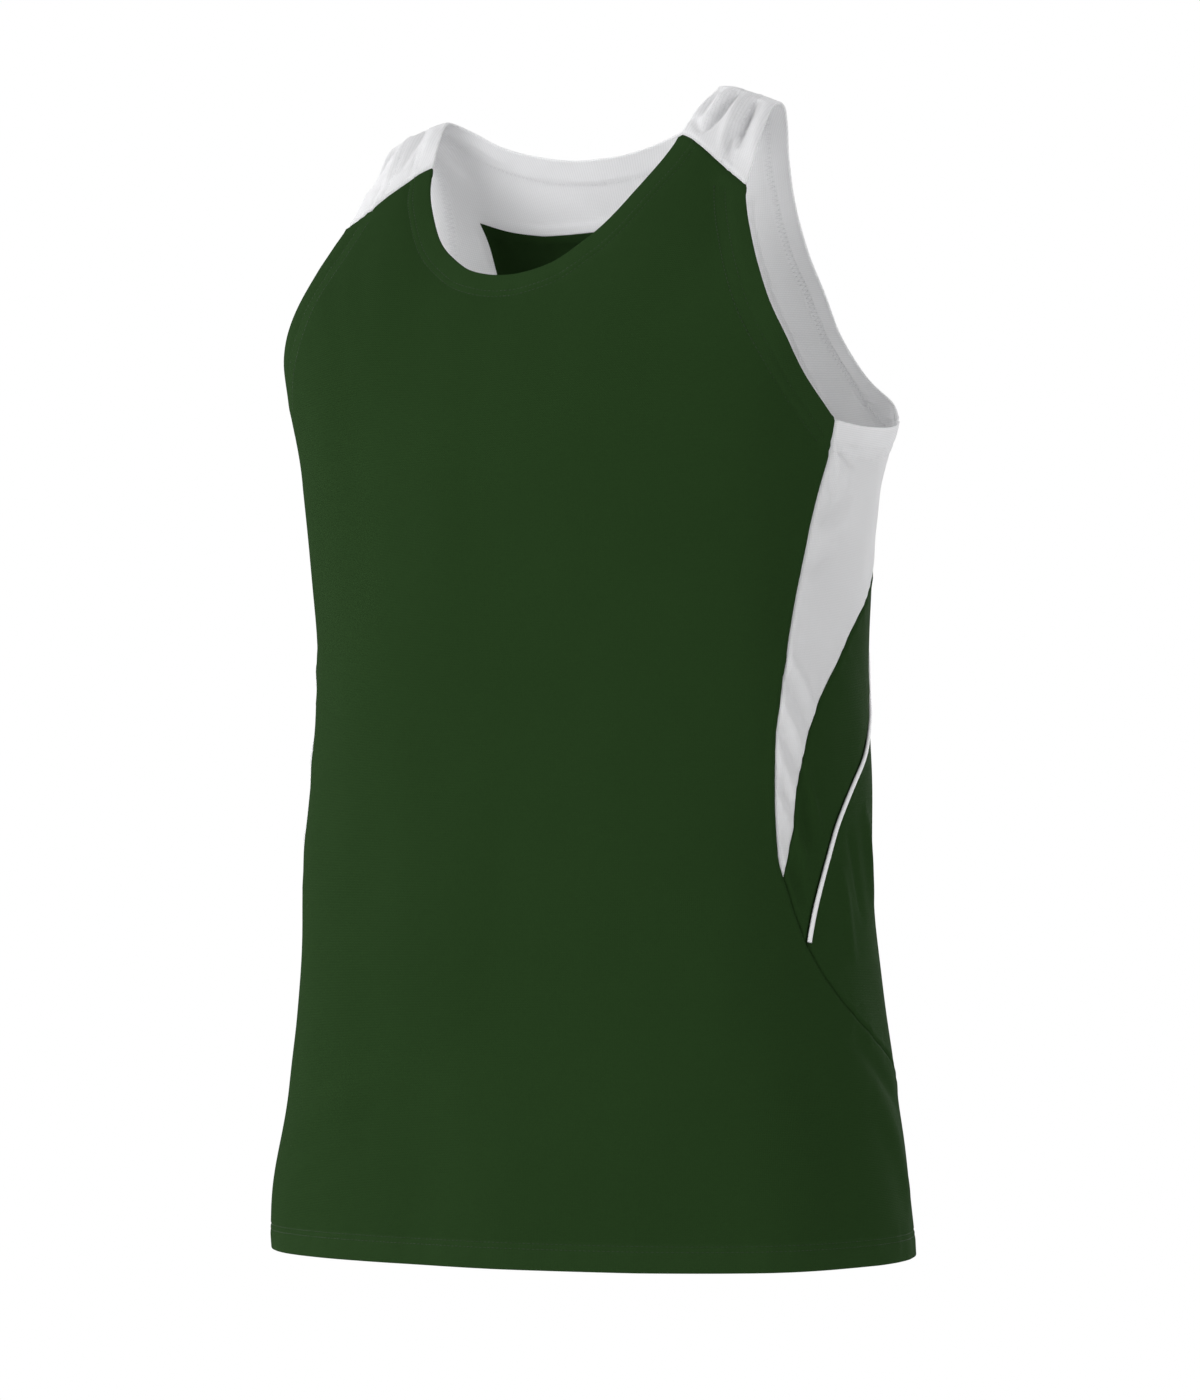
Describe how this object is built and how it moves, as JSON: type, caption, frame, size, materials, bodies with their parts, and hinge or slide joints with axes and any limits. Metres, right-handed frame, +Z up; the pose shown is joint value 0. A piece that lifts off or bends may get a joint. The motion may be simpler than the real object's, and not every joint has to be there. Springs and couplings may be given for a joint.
{
  "type": "track singlet",
  "caption": "Sleeveless knitted running top in dark green with a white back yoke, white straps and side inserts and thin white piping, filled out as when worn.",
  "frame": {"origin": "midway between the two straps, level with the strap tops where they rest on the shoulders", "axes": "+Z up towards the neck, -Y out of the garment's front, +X towards the wearer's left; the garment hangs below the origin"},
  "size_m": [0.4145, 0.2928, 0.7227],
  "materials": {
    "green_knit": "fine dark green polyester knit, soft matt with a faint sheen at grazing angles",
    "white_knit": "fine white polyester knit, soft matt",
    "piping": "white folded strip, a little smoother than the knit"
  },
  "bodies": {
    "root": {"front": "green_knit", "back": "green_knit", "back_yoke": "white_knit", "side_insert_left": "white_knit", "side_insert_right": "white_knit", "side_panel_left": "green_knit", "side_panel_right": "green_knit", "piping_left": "piping", "piping_right": "piping"}
  },
  "joints": []
}
